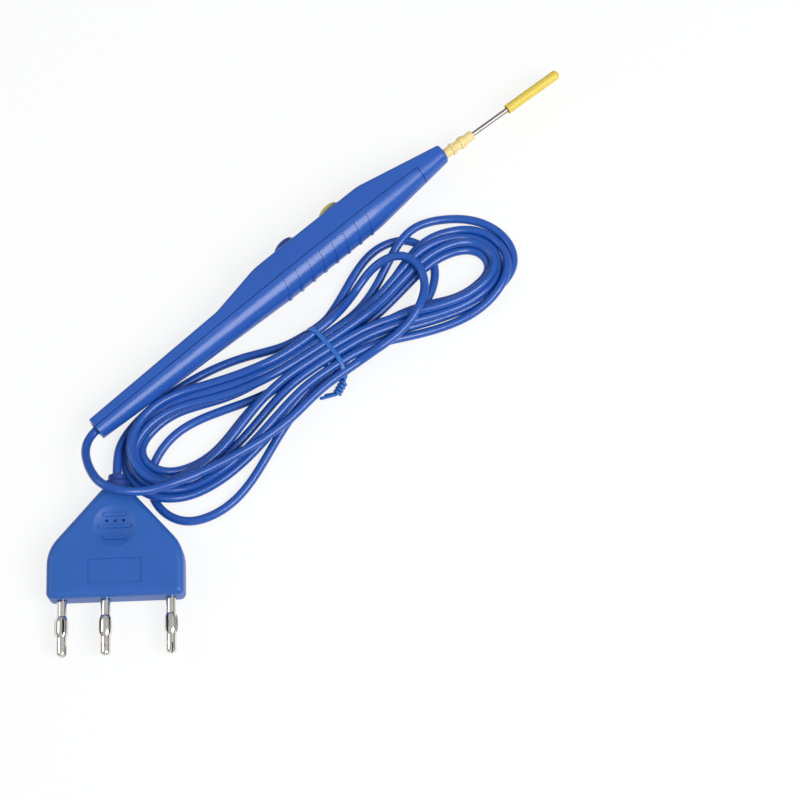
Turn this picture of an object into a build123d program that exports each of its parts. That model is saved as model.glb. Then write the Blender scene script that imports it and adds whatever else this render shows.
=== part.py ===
from build123d import *
import math
import os

# Sizes are in millimetres and angles in degrees, each written once.

# Handle outside, measured from the tail end along the parting axis
TAIL_TAPER = 72.0
GRIP_LENGTH = 35.0
NOSE_TAPER = 30.3
TAIL_RADIUS = 3.5
GRIP_RADIUS = 6.3
NOSE_RADIUS = 3.35
TAIL_HEIGHT = 3.0
NECK_HEIGHT = 3.8
FACE_HEIGHT = 6.9
NOSE_HEIGHT = 2.0
FACE_LEAD = 5.0
RISE_LENGTH = 17.0
FACE_OVERRUN = 1.5
PLAN_BLEND = 40.0
BACK_BLEND = 14.0
EDGE_ROUND = 1.2
NOSE_ROUND = 1.0
WALL = 1.1
NOSE_RING = 10.3
SEAM_GAP = 0.26
SEAM_DEPTH = 0.5

# Grip ribs around the belly
RIB_COUNT = 8
RIB_PITCH = 4.7
RIB_BACK = 2.2
RIB_WIDTH = 0.9
RIB_HEIGHT = 0.3
RIB_TOP = 2.1
RIB_LEAN = 0.29

# Push buttons
COAG_FROM_FACE = 12.5
BUTTON_PITCH = 17.8
BUTTON_LENGTH = 8.0
BUTTON_WIDTH = 6.0
BUTTON_PROUD = 2.8
BUTTON_CROWN = 6.8
CROWN_SHIFT = 0.7
BUTTON_GAP = 0.2
BUTTON_TRAVEL = 0.6
FLANGE_LIP = 0.8
FLANGE_THICKNESS = 0.8
STEM_DIAMETER = 3.0
RIM_HEIGHT = 1.1
RIM_REAR_HEIGHT = 0.3
RIM_WIDTH = 0.9

# Circuit board and its switch domes
BOARD_THICKNESS = 1.0
BOARD_WIDTH = 9.0
BOARD_FIT = 0.1
BOARD_REAR = 15.5
DOME_DIAMETER = 5.0
DOME_PRESSED = 0.2
DOME_SHEET = 0.15
DOME_GAP = 0.1
WEB_THICKNESS = 1.2
POST_DIAMETER = 2.2

# Cord block and the conductors in the handle
BLOCK_DEPTH = 4.5
BLOCK_LENGTH = 6.0
BLOCK_FIT = 0.15
CORE_DIAMETER = 0.9
CORE_PITCH = 1.3

# Electrode, on an axis that droops below the parting plane
DROOP_ANGLE = 3.0
DROOP_FROM_GRIP = 11.0
SHAFT_DIAMETER = 2.36
SHAFT_FIT = 0.05
SOCKET_DIAMETER = 4.0
SOCKET_LENGTH = 17.0
SOCKET_LEAD = 5.2
SOCKET_BACK = 0.8
SOCKET_FIT = 0.03
SHAFT_FREE = 0.5
HUB_DIAMETER = 3.1
HUB_SEAT = 6.0
HUB_LENGTH = 11.2
HUB_FIT = 0.15
HUB_END_ROUND = 0.4
HUB_RINGS = ((3.3, 1.3), (6.9, 1.9))
RING_DIAMETER = 3.84
RING_ROUND = 0.35
NEEDLE_DIAMETER = 1.5
NEEDLE_ROOT = 1.0
NEEDLE_SHOWN = 14.0
NEEDLE_COVERED = 1.5
BLADE_CLEARANCE = 1.4
BLADE_WIDTH = 2.1
BLADE_THICKNESS = 0.5
GUARD_DIAMETER = 3.1
GUARD_LENGTH = 20.4
GUARD_FIT = 0.05
GUARD_END = 1.5
GUARD_ROUND = 1.2

# Plug body, drawn from its pin face with the cord end last
PLUG_WIDTH = 40.0
PLUG_SHOULDER = 14.5
PLUG_HEIGHT = 32.5
PLUG_NECK = 8.0
PLUG_THICKNESS = 10.0
PLUG_WALL = 2.5
PLUG_CORNER = 1.8
PLUG_SHOULDER_ROUND = 11.5
PLUG_EDGE = 2.0
DISH_RADIUS = 6.4
DISH_DEPTH = 1.2
DISH_UP = 20.9
BAR_LENGTHS = (6.6, 9.5, 6.6)
BAR_PITCH = 3.5
BAR_WIDTH = 0.8
BAR_HEIGHT = 0.5
PIT_DIAMETER = 0.9
PIT_PITCH = 2.45
PIT_DEPTH = 0.7
PANEL_LENGTH = 15.7
PANEL_WIDTH = 7.4
PANEL_UP = 7.5
PANEL_DEPTH = 0.35
PANEL_ROUND = 0.5
PLUG_X = -119.2
PLUG_Y = -45.6
PLUG_TURN = -38.9

# Plug pins, at the usual spacing for a hand-switched pencil
PIN_SPACE_NEAR = 12.7
PIN_SPACE_FAR = 19.05
PIN_DIAMETER = 3.0
PIN_FIT = 0.03
PIN_SHANK = 4.7
PIN_WAIST = 6.3
PIN_TIP = 5.5
PIN_TIP_DIAMETER = 3.1
PIN_TIP_ROUND = 1.1
PIN_CORE_DIAMETER = 2.2
PIN_SLIT = 0.4
PIN_SLIT_DEPTH = 3.0
PIN_FLANGE_DIAMETER = 4.4
PIN_FLANGE = 1.5
PIN_TAIL = 5.0
PIN_TAIL_DIAMETER = 1.8
PIN_TURNS = {"left": 25.0, "middle": 90.0, "right": 70.0}
SPRING_DIAMETER = 4.0
SPRING_BAND = 2.4
SPRING_SHEET = 0.35
SPRING_END_GAP = 0.05
SPRING_SLOTS = 4
SPRING_SLOT = 0.7
SPRING_SLOT_END = 0.5
WIRE_STRAIGHT = 2.5
WIRE_BEND_UP = 17.0
WIRE_GATHER_UP = 25.0
WIRE_BEND_SHARE = 0.62

# Cord boot on the plug
BOOT_STEM_DIAMETER = 4.4
BOOT_FIT = 0.03
BOOT_STEP = 0.3
BOOT_FLANGE_DIAMETER = 7.7
BOOT_FLANGE = 3.0
BOOT_FLANGE_ROUND = 0.9
BOOT_COLLAR_DIAMETER = 5.2
BOOT_COLLAR = 1.8
BOOT_COLLAR_ROUND = 0.4

# Cord, its hank and its tie; the points are places on the table, chosen by hand
CORD_DIAMETER = 2.7
ARC_SHARE = 0.45
TAIL_RUN = 1.7
BOOT_RUN = 3.5
HANDLE_LEAD_POINTS = (
    (-98.2, -4.7, 8.2),
    (-101.2, -11.4, 11.8),
    (-101.8, -18.4, 14.5),
    (-97.6, -24.9, 14.5),
    (-91.8, -28.3, 11.4),
    (-85.3, -30.0, 8.0),
    (-79.0, -31.8, 4.6),
)
PLUG_LEAD_POINTS = (
    (-89.6, -9.4, 2.9),
    (-84.0, -7.0, 1.5),
    (-77.4, -6.2, 1.4),
    (-70.4, -6.6, 1.4),
    (-63.6, -8.2, 1.4),
    (-57.0, -10.6, 1.4),
)
HANK_HEIGHT = 6.8
HANK_OUTLINE = (
    (44.8, -32.0), (40.0, -20.0), (30.5, -14.8), (19.5, -12.4), (12.5, -9.4), (4.5, -11.5),
    (-6.0, -15.2), (-16.0, -16.2), (-32.0, -14.8), (-46.0, -11.2), (-58.0, -9.0), (-70.0, -8.8),
    (-80.0, -10.0), (-87.5, -13.2), (-91.8, -19.5), (-93.0, -28.0), (-90.5, -37.0), (-83.5, -44.3),
    (-75.0, -46.0), (-64.0, -43.0), (-52.0, -39.0), (-40.0, -37.2), (-28.0, -36.8), (-16.0, -38.0),
    (-5.0, -41.8), (8.0, -47.0), (20.0, -50.0), (31.0, -49.6), (40.0, -45.5), (44.5, -39.0),
)
HANK_LEFT_HOLE = (
    (-86.0, -21.5), (-77.0, -17.5), (-65.0, -17.5), (-51.5, -25.0), (-58.5, -28.3), (-68.0, -28.0),
    (-77.0, -26.8),
)
HANK_RIGHT_HOLE = (
    (11.0, -34.2), (20.5, -29.2), (27.5, -30.3), (31.0, -34.0), (30.0, -37.6), (24.0, -39.0),
    (16.5, -37.6),
)
HANK_ROUND = 2.0
TIE_X = -24.0
TIE_Y = -26.2
TIE_WIDTH = 3.0
TIE_SPAN = 21.4
TIE_THICKNESS = 0.8
TIE_TWIST_DIAMETER = 2.2
TIE_TWIST_POINTS = ((-24.0, -36.5, 3.4), (-24.8, -39.4, 3.4), (-31.5, -40.6, 3.0))

# Places worked out from the sizes above
GRIP_START = TAIL_TAPER
GRIP_END = GRIP_START + GRIP_LENGTH
HANDLE_LENGTH = GRIP_END + NOSE_TAPER
REACH = 2 * HANDLE_LENGTH
FACE_START = GRIP_START - FACE_LEAD
RISE_START = FACE_START - RISE_LENGTH
FACE_END = GRIP_END + FACE_OVERRUN
SPLIT_X = HANDLE_LENGTH - NOSE_RING
COAG_X = FACE_START + COAG_FROM_FACE
CUT_X = COAG_X + BUTTON_PITCH
BOARD_START = COAG_X - BOARD_REAR
CEILING = FACE_HEIGHT - WALL
DOME_HEIGHT = BUTTON_TRAVEL + DOME_PRESSED - DOME_GAP
DROOP_START = GRIP_END + DROOP_FROM_GRIP
DROOP_SINE = math.sin(math.radians(DROOP_ANGLE))
DROOP_COSINE = math.cos(math.radians(DROOP_ANGLE))
NOSE_REACH = (HANDLE_LENGTH - DROOP_START) / DROOP_COSINE
SOCKET_END = NOSE_REACH - HUB_SEAT
SOCKET_START = SOCKET_END - SOCKET_LENGTH
SOCKET_REAR = DROOP_START + SOCKET_START * DROOP_COSINE - SOCKET_DIAMETER / 2 * DROOP_SINE
BOARD_END = SOCKET_REAR - SOCKET_LEAD
HUB_END = NOSE_REACH + HUB_LENGTH
GUARD_START = HUB_END + NEEDLE_SHOWN
GUARD_TIP = GUARD_START + GUARD_LENGTH
BELLY = (
    (0, TAIL_RADIUS),
    (GRIP_START, GRIP_RADIUS),
    (GRIP_END, GRIP_RADIUS),
    (HANDLE_LENGTH, NOSE_RADIUS),
)
BACK = (
    (0, TAIL_HEIGHT),
    (RISE_START, NECK_HEIGHT),
    (FACE_START, FACE_HEIGHT),
    (FACE_END, FACE_HEIGHT),
    (HANDLE_LENGTH, NOSE_HEIGHT),
)
OVERALL_LENGTH = DROOP_START + GUARD_TIP * DROOP_COSINE
TAIL_X = -OVERALL_LENGTH / 2
AXIS_Y = (GRIP_RADIUS + RIB_HEIGHT - FACE_HEIGHT - BUTTON_PROUD) / 2
AXIS_Z = GRIP_RADIUS
PIN_PLACES = {
    "left": -(PIN_SPACE_NEAR + PIN_SPACE_FAR) / 2,
    "middle": PIN_SPACE_NEAR - (PIN_SPACE_NEAR + PIN_SPACE_FAR) / 2,
    "right": (PIN_SPACE_NEAR + PIN_SPACE_FAR) / 2,
}
PLUG_MID = PLUG_THICKNESS / 2
BOOT_END = PLUG_HEIGHT + BOOT_STEP + BOOT_FLANGE + BOOT_COLLAR

# The handle's, electrode's and plug's own frames, placed on the table
HANDLE = Pos(TAIL_X, AXIS_Y, AXIS_Z)
DROOP = Pos(DROOP_START, 0, 0) * Rot(0, 0, -DROOP_ANGLE)
ELECTRODE = HANDLE * DROOP
PLUG = Pos(PLUG_X, PLUG_Y, PLUG_MID) * Rot(0, 0, PLUG_TURN)


def block(low, high):
    """Box between two opposite corners."""
    size = [b - a for a, b in zip(low, high)]
    middle = [(a + b) / 2 for a, b in zip(low, high)]
    return Pos(*middle) * Box(*size)


def rod(diameter, start, end):
    """Cylinder along X between two stations."""
    return Pos((start + end) / 2, 0, 0) * Rot(0, 90, 0) * Cylinder(diameter / 2, end - start)


def arc_radii(points, closed=False):
    """Radius of the largest arc that each corner of a route has room for."""
    corners = range(len(points)) if closed else range(1, len(points) - 1)
    radii = []
    for i in corners:
        here = Vector(*points[i])
        back = here - Vector(*points[i - 1])
        ahead = Vector(*points[(i + 1) % len(points)]) - here
        half_turn = math.radians(back.get_angle(ahead)) / 2
        radii.append(ARC_SHARE * min(back.length, ahead.length) / math.tan(half_turn))
    return radii


def tube(points, diameter):
    """Round tube along straight runs joined by tangent arcs."""
    path = FilletPolyline(*points, radius=arc_radii(points))
    section = Plane(path @ 0, z_dir=path % 0) * Circle(diameter / 2)
    return sweep(section, path=path), path.length


def across(y_low, y_high):
    """Slab wider than the handle between two heights."""
    return block((-REACH, y_low, -REACH), (REACH, y_high, REACH))


def along(x_low, x_high):
    """Slab wider than the handle between two stations."""
    return block((x_low, -REACH, -REACH), (x_high, REACH, REACH))


def handle_form(inset):
    """Handle outside drawn in by an inset: a turned belly under a flat-sided back."""
    belly = [(x, radius - inset) for x, radius in BELLY]
    back = [(x, height - inset) for x, height in BACK]
    side_line = FilletPolyline(*belly, radius=[PLAN_BLEND, PLAN_BLEND])
    side_base = Polyline(belly[-1], (HANDLE_LENGTH, 0), (0, 0), belly[0])
    barrel = revolve(make_face(side_line + side_base), Axis.X)
    back_line = FilletPolyline(*back, radius=BACK_BLEND)
    back_base = Polyline(back[-1], (HANDLE_LENGTH, 0), (0, 0), back[0])
    ridge = extrude(make_face(back_line + back_base), amount=2 * GRIP_RADIUS, both=True)
    flanks = extrude(Plane.XZ * make_face(side_line + side_base), amount=-2 * FACE_HEIGHT)
    flanks += mirror(flanks, about=Plane.XY)
    return (barrel & across(-REACH, 0)) + (ridge & flanks)


def handle_outside():
    """Handle outside with its back edges and nose end rounded."""
    form = handle_form(0)
    along_back = [
        edge for edge in form.edges()
        if edge.bounding_box().min.Y > EDGE_ROUND and edge.bounding_box().size.X > EDGE_ROUND
    ]
    form = fillet(along_back, EDGE_ROUND)
    nose_end = form.faces().sort_by(Axis.X)[-1]
    return fillet(nose_end.outer_wire().edges(), NOSE_ROUND)


def handle_shells():
    """Upper shell with the nose ring, and the lower shell that closes it."""
    outside = handle_outside()
    before_nose = along(-REACH, SPLIT_X)
    lower_half = across(-REACH, 0) & before_nose
    cavity = handle_form(WALL) & before_nose
    lower = (outside & lower_half) - cavity
    upper = outside - cavity - lower_half - board(BOARD_FIT)
    return upper, lower


def lower_shell(lower):
    """Lower shell with its seam groove, board webs and grip ribs."""
    seam = across(-SEAM_GAP, 0) + along(SPLIT_X - SEAM_GAP, SPLIT_X)
    shell = lower - (seam - handle_form(SEAM_DEPTH))
    inside = handle_form(WALL / 2) & across(-REACH, 0)
    for x in (COAG_X, CUT_X):
        shell += inside & along(x - WEB_THICKNESS / 2, x + WEB_THICKNESS / 2)
    skin = handle_form(-RIB_HEIGHT) - handle_form(WALL / 2)
    reach = 2 * GRIP_RADIUS
    for i in range(RIB_COUNT):
        keel = GRIP_START - RIB_BACK + i * RIB_PITCH
        lead = keel + RIB_LEAN * reach
        chevron = Polyline(
            (keel, -RIB_TOP, 0),
            (lead, -RIB_TOP, reach),
            (lead + RIB_WIDTH, -RIB_TOP, reach),
            (keel + RIB_WIDTH, -RIB_TOP, 0),
            (lead + RIB_WIDTH, -RIB_TOP, -reach),
            (lead, -RIB_TOP, -reach),
            close=True,
        )
        shell += extrude(make_face(chevron), amount=reach, dir=(0, -1, 0)) & skin
    return shell


def oval(x, length, width, y_low, y_high):
    """Upright oval prism over a station of the handle."""
    face = Plane((x, y_low, 0), x_dir=(1, 0, 0), z_dir=(0, 1, 0)) * Ellipse(length / 2, width / 2)
    return extrude(face, amount=y_high - y_low)


def rim_slant(x, length, width):
    """Wedge cut off a button's rim, which stands highest towards the nose."""
    rear, front = x - length / 2, x + length / 2
    top = FACE_HEIGHT + RIM_HEIGHT
    side = Polyline((rear, FACE_HEIGHT + RIM_REAR_HEIGHT), (front, top), (rear, top), close=True)
    return extrude(make_face(side), amount=width, both=True)


def upper_shell(upper):
    """Upper shell with button rims and openings, board posts and the drooping nose bore."""
    shell = upper
    hole_length = BUTTON_LENGTH + 2 * BUTTON_GAP
    hole_width = BUTTON_WIDTH + 2 * BUTTON_GAP
    for x in (COAG_X, CUT_X):
        rim_top = FACE_HEIGHT + RIM_HEIGHT
        rim_length = hole_length + 2 * RIM_WIDTH
        rim_width = hole_width + 2 * RIM_WIDTH
        rim = oval(x, rim_length, rim_width, CEILING + WALL / 2, rim_top)
        shell += rim - rim_slant(x, rim_length, rim_width)
        shell -= oval(x, hole_length, hole_width, CEILING - WALL, rim_top + WALL)
    for x in (BOARD_START + POST_DIAMETER, (COAG_X + CUT_X) / 2):
        post = Plane((x, BOARD_THICKNESS, 0), z_dir=(0, 1, 0)) * Circle(POST_DIAMETER / 2)
        shell += extrude(post, amount=CEILING + WALL / 2 - BOARD_THICKNESS) & handle_form(WALL / 2)
    socket_bore = rod(SOCKET_DIAMETER + 2 * SOCKET_FIT, SOCKET_START, SOCKET_END)
    hub_bore = rod(HUB_DIAMETER + 2 * HUB_FIT, SOCKET_END, HUB_END)
    return shell - DROOP * (socket_bore + hub_bore)


def button(x):
    """Button with a crowned cap, a flange under the shell and a stem over its dome."""
    top = FACE_HEIGHT + BUTTON_PROUD
    flange_top = CEILING - DOME_GAP / 2
    cap = oval(x, BUTTON_LENGTH, BUTTON_WIDTH, flange_top, top)
    cap &= Pos(x + CROWN_SHIFT, top - BUTTON_CROWN, 0) * Sphere(BUTTON_CROWN)
    lip = 2 * FLANGE_LIP
    flange = oval(x, BUTTON_LENGTH + lip, BUTTON_WIDTH + lip, flange_top - FLANGE_THICKNESS, flange_top)
    stem_base = BOARD_THICKNESS + DOME_HEIGHT + DOME_GAP
    stem = oval(x, STEM_DIAMETER, STEM_DIAMETER, stem_base, flange_top - FLANGE_THICKNESS / 2)
    return cap + flange + stem


def board(fit=0):
    """Circuit board that lies on the lower shell's webs, or the room for it with a side fit."""
    half = BOARD_WIDTH / 2 + fit
    return block((BOARD_START, 0, -half), (BOARD_END, BOARD_THICKNESS, half))


def dome(x):
    """Thin sprung dome on the board."""
    radius = DOME_DIAMETER / 2
    ball = (radius ** 2 + DOME_HEIGHT ** 2) / (2 * DOME_HEIGHT)
    centre = Pos(x, BOARD_THICKNESS + DOME_HEIGHT - ball, 0)
    cap = centre * Sphere(ball) - centre * Sphere(ball - DOME_SHEET)
    return cap & across(BOARD_THICKNESS, REACH)


def cord_block():
    """Block moulded on the cord's end, trapped in the tail."""
    return handle_form(WALL + BLOCK_FIT) & along(BLOCK_DEPTH, BLOCK_DEPTH + BLOCK_LENGTH)


def handle_core(place):
    """Insulated conductor from the cord block to the board's rear edge."""
    return Pos(0, BOARD_THICKNESS / 2, place * CORE_PITCH) * rod(
        CORE_DIAMETER, BLOCK_DEPTH + BLOCK_LENGTH, BOARD_START
    )


def socket_lead():
    """Conductor from the board's front edge to the back of the socket."""
    return Pos(0, BOARD_THICKNESS / 2, 0) * rod(CORE_DIAMETER, BOARD_END, SOCKET_REAR)


def electrode_socket():
    """Tube with a closed back that grips the electrode's shaft."""
    bore = rod(SHAFT_DIAMETER + 2 * SHAFT_FIT, SOCKET_START + SOCKET_BACK, SOCKET_END)
    return rod(SOCKET_DIAMETER, SOCKET_START, SOCKET_END) - bore


def electrode_rod():
    """Stepped shaft, thin needle stretch and flat blade in one piece."""
    shaft_start = SOCKET_START + SOCKET_BACK + SHAFT_FREE
    needle_start = HUB_END - NEEDLE_ROOT
    blade_start = GUARD_START + NEEDLE_COVERED
    blade_end = GUARD_TIP - GUARD_END - BLADE_CLEARANCE
    shaft = rod(SHAFT_DIAMETER, shaft_start, needle_start)
    needle = rod(NEEDLE_DIAMETER, needle_start, blade_start + BLADE_WIDTH)
    half = BLADE_WIDTH / 2
    leaf = BLADE_THICKNESS / 2
    blade = block((blade_start, -half, -leaf), (blade_end - half, half, leaf))
    blade += Pos(blade_end - half, 0, 0) * Cylinder(half, BLADE_THICKNESS)
    return shaft + needle + blade


def electrode_hub():
    """Insulating sleeve moulded on the shaft, with two finger rings."""
    start = SOCKET_END + SOCKET_FIT
    sleeve = rod(HUB_DIAMETER, start, HUB_END)
    front = sleeve.edges().filter_by(GeomType.CIRCLE).sort_by(Axis.X)[-1]
    sleeve = fillet(front, HUB_END_ROUND)
    for offset, width in HUB_RINGS:
        middle = NOSE_REACH + offset
        ring = rod(RING_DIAMETER, middle - width / 2, middle + width / 2)
        sleeve += fillet(ring.edges().filter_by(GeomType.CIRCLE), RING_ROUND)
    needle_start = HUB_END - NEEDLE_ROOT
    bore = rod(SHAFT_DIAMETER, start, needle_start) + rod(NEEDLE_DIAMETER, needle_start, HUB_END)
    return sleeve - bore


def tip_guard():
    """Closed tube pushed over the blade."""
    sleeve = rod(GUARD_DIAMETER, GUARD_START, GUARD_TIP)
    front = sleeve.edges().filter_by(GeomType.CIRCLE).sort_by(Axis.X)[-1]
    sleeve = fillet(front, GUARD_ROUND)
    return sleeve - rod(BLADE_WIDTH + 2 * GUARD_FIT, GUARD_START, GUARD_TIP - GUARD_END)


def plug_outline(inset):
    """Plug outline drawn in by an inset: straight sides, round shoulders and a narrow neck."""
    half = PLUG_WIDTH / 2 - inset
    neck = PLUG_NECK / 2
    slope = (PLUG_WIDTH / 2 - neck) / (PLUG_HEIGHT - PLUG_SHOULDER)
    slant_inset = inset * math.hypot(1, slope)
    top = PLUG_HEIGHT - inset
    neck_at_top = neck - slant_inset + slope * inset
    shoulder = PLUG_SHOULDER + (inset - slant_inset) / slope
    points = ((0, inset), (half, inset), (half, shoulder), (neck_at_top, top), (0, top))
    radii = [PLUG_CORNER, PLUG_SHOULDER_ROUND, PLUG_CORNER / 2]
    right = make_face(FilletPolyline(*points, radius=radii) + Line(points[-1], points[0]))
    return right + mirror(right, about=Plane.YZ)


def plug_half():
    """One half of the plug body over its parting plane, hollow, with pin and boot holes."""
    body = extrude(plug_outline(0), amount=PLUG_MID)
    top = body.faces().sort_by(Axis.Z)[-1]
    body = fillet(top.outer_wire().edges(), PLUG_EDGE)
    body -= extrude(plug_outline(PLUG_WALL), amount=PLUG_MID - PLUG_WALL)
    flange_room = PLUG_WALL + PIN_FLANGE + 2 * PIN_FIT
    hole = rod(PIN_DIAMETER + 2 * PIN_FIT, -PLUG_WALL, flange_room)
    hole += rod(PIN_FLANGE_DIAMETER + 2 * PIN_FIT, PLUG_WALL, flange_room)
    for place in PIN_PLACES.values():
        body -= Pos(place, 0, 0) * Rot(0, 0, 90) * hole
    neck_diameter = BOOT_STEM_DIAMETER + 2 * BOOT_FIT
    neck_hole = rod(neck_diameter, PLUG_HEIGHT - 2 * PLUG_WALL, PLUG_HEIGHT + PLUG_WALL)
    return body - Rot(0, 0, 90) * neck_hole


def plug_front():
    """Front half with a thumb dish, three bars, three pits and a shallow panel."""
    body = plug_half()
    ball = (DISH_RADIUS ** 2 + DISH_DEPTH ** 2) / (2 * DISH_DEPTH)
    dish_centre = Pos(0, DISH_UP, PLUG_MID - DISH_DEPTH + ball)
    dish = dish_centre * Sphere(ball)
    body -= dish
    lifted = dish_centre * Sphere(ball - BAR_HEIGHT)
    for i, length in enumerate(BAR_LENGTHS):
        up = DISH_UP + (1 - i) * BAR_PITCH
        low = (-length / 2, up - BAR_WIDTH / 2, PLUG_MID - PLUG_WALL / 2)
        high = (length / 2, up + BAR_WIDTH / 2, PLUG_MID)
        body += block(low, high) - lifted
    pit = Cylinder(PIT_DIAMETER / 2, 2 * (DISH_DEPTH + PIT_DEPTH))
    for i in (-1, 0, 1):
        body -= Pos(i * PIT_PITCH, DISH_UP + BAR_PITCH / 2, PLUG_MID) * pit
    panel = RectangleRounded(PANEL_LENGTH, PANEL_WIDTH, PANEL_ROUND)
    return body - Pos(0, PANEL_UP, PLUG_MID - PANEL_DEPTH) * extrude(panel, amount=PANEL_DEPTH)


def plug_pin():
    """Turned pin on X, tip at the far end: tail, flange, shank, waist and split tip."""
    waist_start = PIN_SHANK
    tip_start = waist_start + PIN_WAIST
    tip_end = tip_start + PIN_TIP
    flange_end = -PLUG_WALL - PIN_FIT
    flange_start = flange_end - PIN_FLANGE
    tip = rod(PIN_TIP_DIAMETER, tip_start, tip_end)
    tip = fillet(tip.edges().filter_by(GeomType.CIRCLE).sort_by(Axis.X)[-1], PIN_TIP_ROUND)
    pin = rod(PIN_TAIL_DIAMETER, flange_start - PIN_TAIL, flange_start)
    pin += rod(PIN_FLANGE_DIAMETER, flange_start, flange_end)
    pin += rod(PIN_DIAMETER, flange_end, waist_start)
    pin += rod(PIN_CORE_DIAMETER, waist_start, tip_start)
    pin += tip
    half = PIN_SLIT / 2
    slit_start = tip_end - PIN_SLIT_DEPTH
    return pin - block((slit_start, -PIN_DIAMETER, -half), (tip_end + PIN_SLIT, PIN_DIAMETER, half))


def pin_spring():
    """Sprung sleeve on the pin's waist: a straight band with bowed ends, cut into leaves by oval slots."""
    start = PIN_SHANK + SPRING_END_GAP
    end = PIN_SHANK + PIN_WAIST - SPRING_END_GAP
    middle = (start + end) / 2
    bulge = SPRING_DIAMETER / 2
    foot = PIN_CORE_DIAMETER / 2 + SPRING_SHEET + SPRING_END_GAP
    under = foot - SPRING_SHEET
    inside = bulge - SPRING_SHEET
    band_start, band_end = middle - SPRING_BAND / 2, middle + SPRING_BAND / 2
    profile = Line((band_start, bulge), (band_end, bulge)) + Line((band_start, inside), (band_end, inside))
    for way, band, tip in ((-1, band_start, start), (1, band_end, end)):
        profile += TangentArc((band, bulge), (tip, foot), tangent=(way, 0))
        profile += TangentArc((band, inside), (tip, under), tangent=(way, 0))
        profile += Line((tip, foot), (tip, under))
    sleeve = revolve(make_face(profile), Axis.X)
    slot = oval(middle, end - start - 2 * SPRING_SLOT_END, SPRING_SLOT, 0, SPRING_DIAMETER)
    for i in range(SPRING_SLOTS):
        sleeve -= Rot(180 / SPRING_SLOTS * (2 * i + 1), 0, 0) * slot
    return sleeve


def plug_wire(place, side):
    """Conductor from a pin's tail to the boot."""
    tail_end = PLUG_WALL + PIN_FIT + PIN_FLANGE + PIN_TAIL
    gather = side * (CORE_DIAMETER + BOOT_FIT)
    points = (
        (place, tail_end, 0),
        (place, tail_end + WIRE_STRAIGHT, 0),
        (place * WIRE_BEND_SHARE, WIRE_BEND_UP, 0),
        (gather, WIRE_GATHER_UP, 0),
        (gather, PLUG_HEIGHT - PLUG_WALL, 0),
    )
    return tube(points, CORE_DIAMETER)[0]


def cord_boot():
    """Boot on X: stem in the plug's neck, round flange and collar."""
    flange_start = PLUG_HEIGHT + BOOT_STEP
    flange_end = flange_start + BOOT_FLANGE
    flange = rod(BOOT_FLANGE_DIAMETER, flange_start, flange_end)
    flange = fillet(flange.edges().filter_by(GeomType.CIRCLE), BOOT_FLANGE_ROUND)
    collar = rod(BOOT_COLLAR_DIAMETER, flange_end - BOOT_FLANGE / 2, BOOT_END)
    collar = fillet(collar.edges().filter_by(GeomType.CIRCLE).sort_by(Axis.X)[-1], BOOT_COLLAR_ROUND)
    return rod(BOOT_STEM_DIAMETER, PLUG_HEIGHT - PLUG_WALL, flange_end) + flange + collar


def handle_lead():
    """Cord from the block in the tail, over the plug's neck, into the hank."""
    start = (TAIL_X + BLOCK_DEPTH, AXIS_Y, AXIS_Z)
    outside = (TAIL_X - TAIL_RUN, AXIS_Y, AXIS_Z)
    points = (start, outside, *HANDLE_LEAD_POINTS)
    return points, tube(points, CORD_DIAMETER)


def plug_lead():
    """Cord from the boot, past the tail, into the hank."""
    start = PLUG * Pos(0, BOOT_END, 0)
    outside = PLUG * Pos(0, BOOT_END + BOOT_RUN, 0)
    points = (tuple(start.position), tuple(outside.position), *PLUG_LEAD_POINTS)
    return points, tube(points, CORD_DIAMETER)


def rounded_loop(points):
    """Closed flat outline with each corner rounded as far as its runs allow."""
    radii = arc_radii(points, closed=True)
    return make_face(FilletPolyline(*points, radius=radii, close=True))


def tie_band(inset):
    """Upright block that the tie encloses, drawn in by an inset."""
    span = TIE_SPAN - 2 * inset
    height = HANK_HEIGHT - 2 * inset
    return Pos(TIE_X, TIE_Y, HANK_HEIGHT / 2) * Box(TIE_WIDTH, span, height)


def cord_hank():
    """Outer shape of the tied hank: two loops and the waist that the tie draws in."""
    flat = rounded_loop(HANK_OUTLINE) - rounded_loop(HANK_LEFT_HOLE) - rounded_loop(HANK_RIGHT_HOLE)
    body = extrude(flat, amount=HANK_HEIGHT)
    rims = body.faces().filter_by(Axis.Z)
    body = fillet([edge for face in rims for edge in face.outer_wire().edges()], HANK_ROUND)
    at_tie = along(TIE_X - TIE_WIDTH / 2, TIE_X + TIE_WIDTH / 2)
    return body - (at_tie - tie_band(TIE_THICKNESS))


def cord_tie():
    """Band round the waist with its twisted end."""
    band = tie_band(0) - tie_band(TIE_THICKNESS)
    return band + tube(TIE_TWIST_POINTS, TIE_TWIST_DIAMETER)[0] - tie_band(TIE_THICKNESS)


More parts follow.
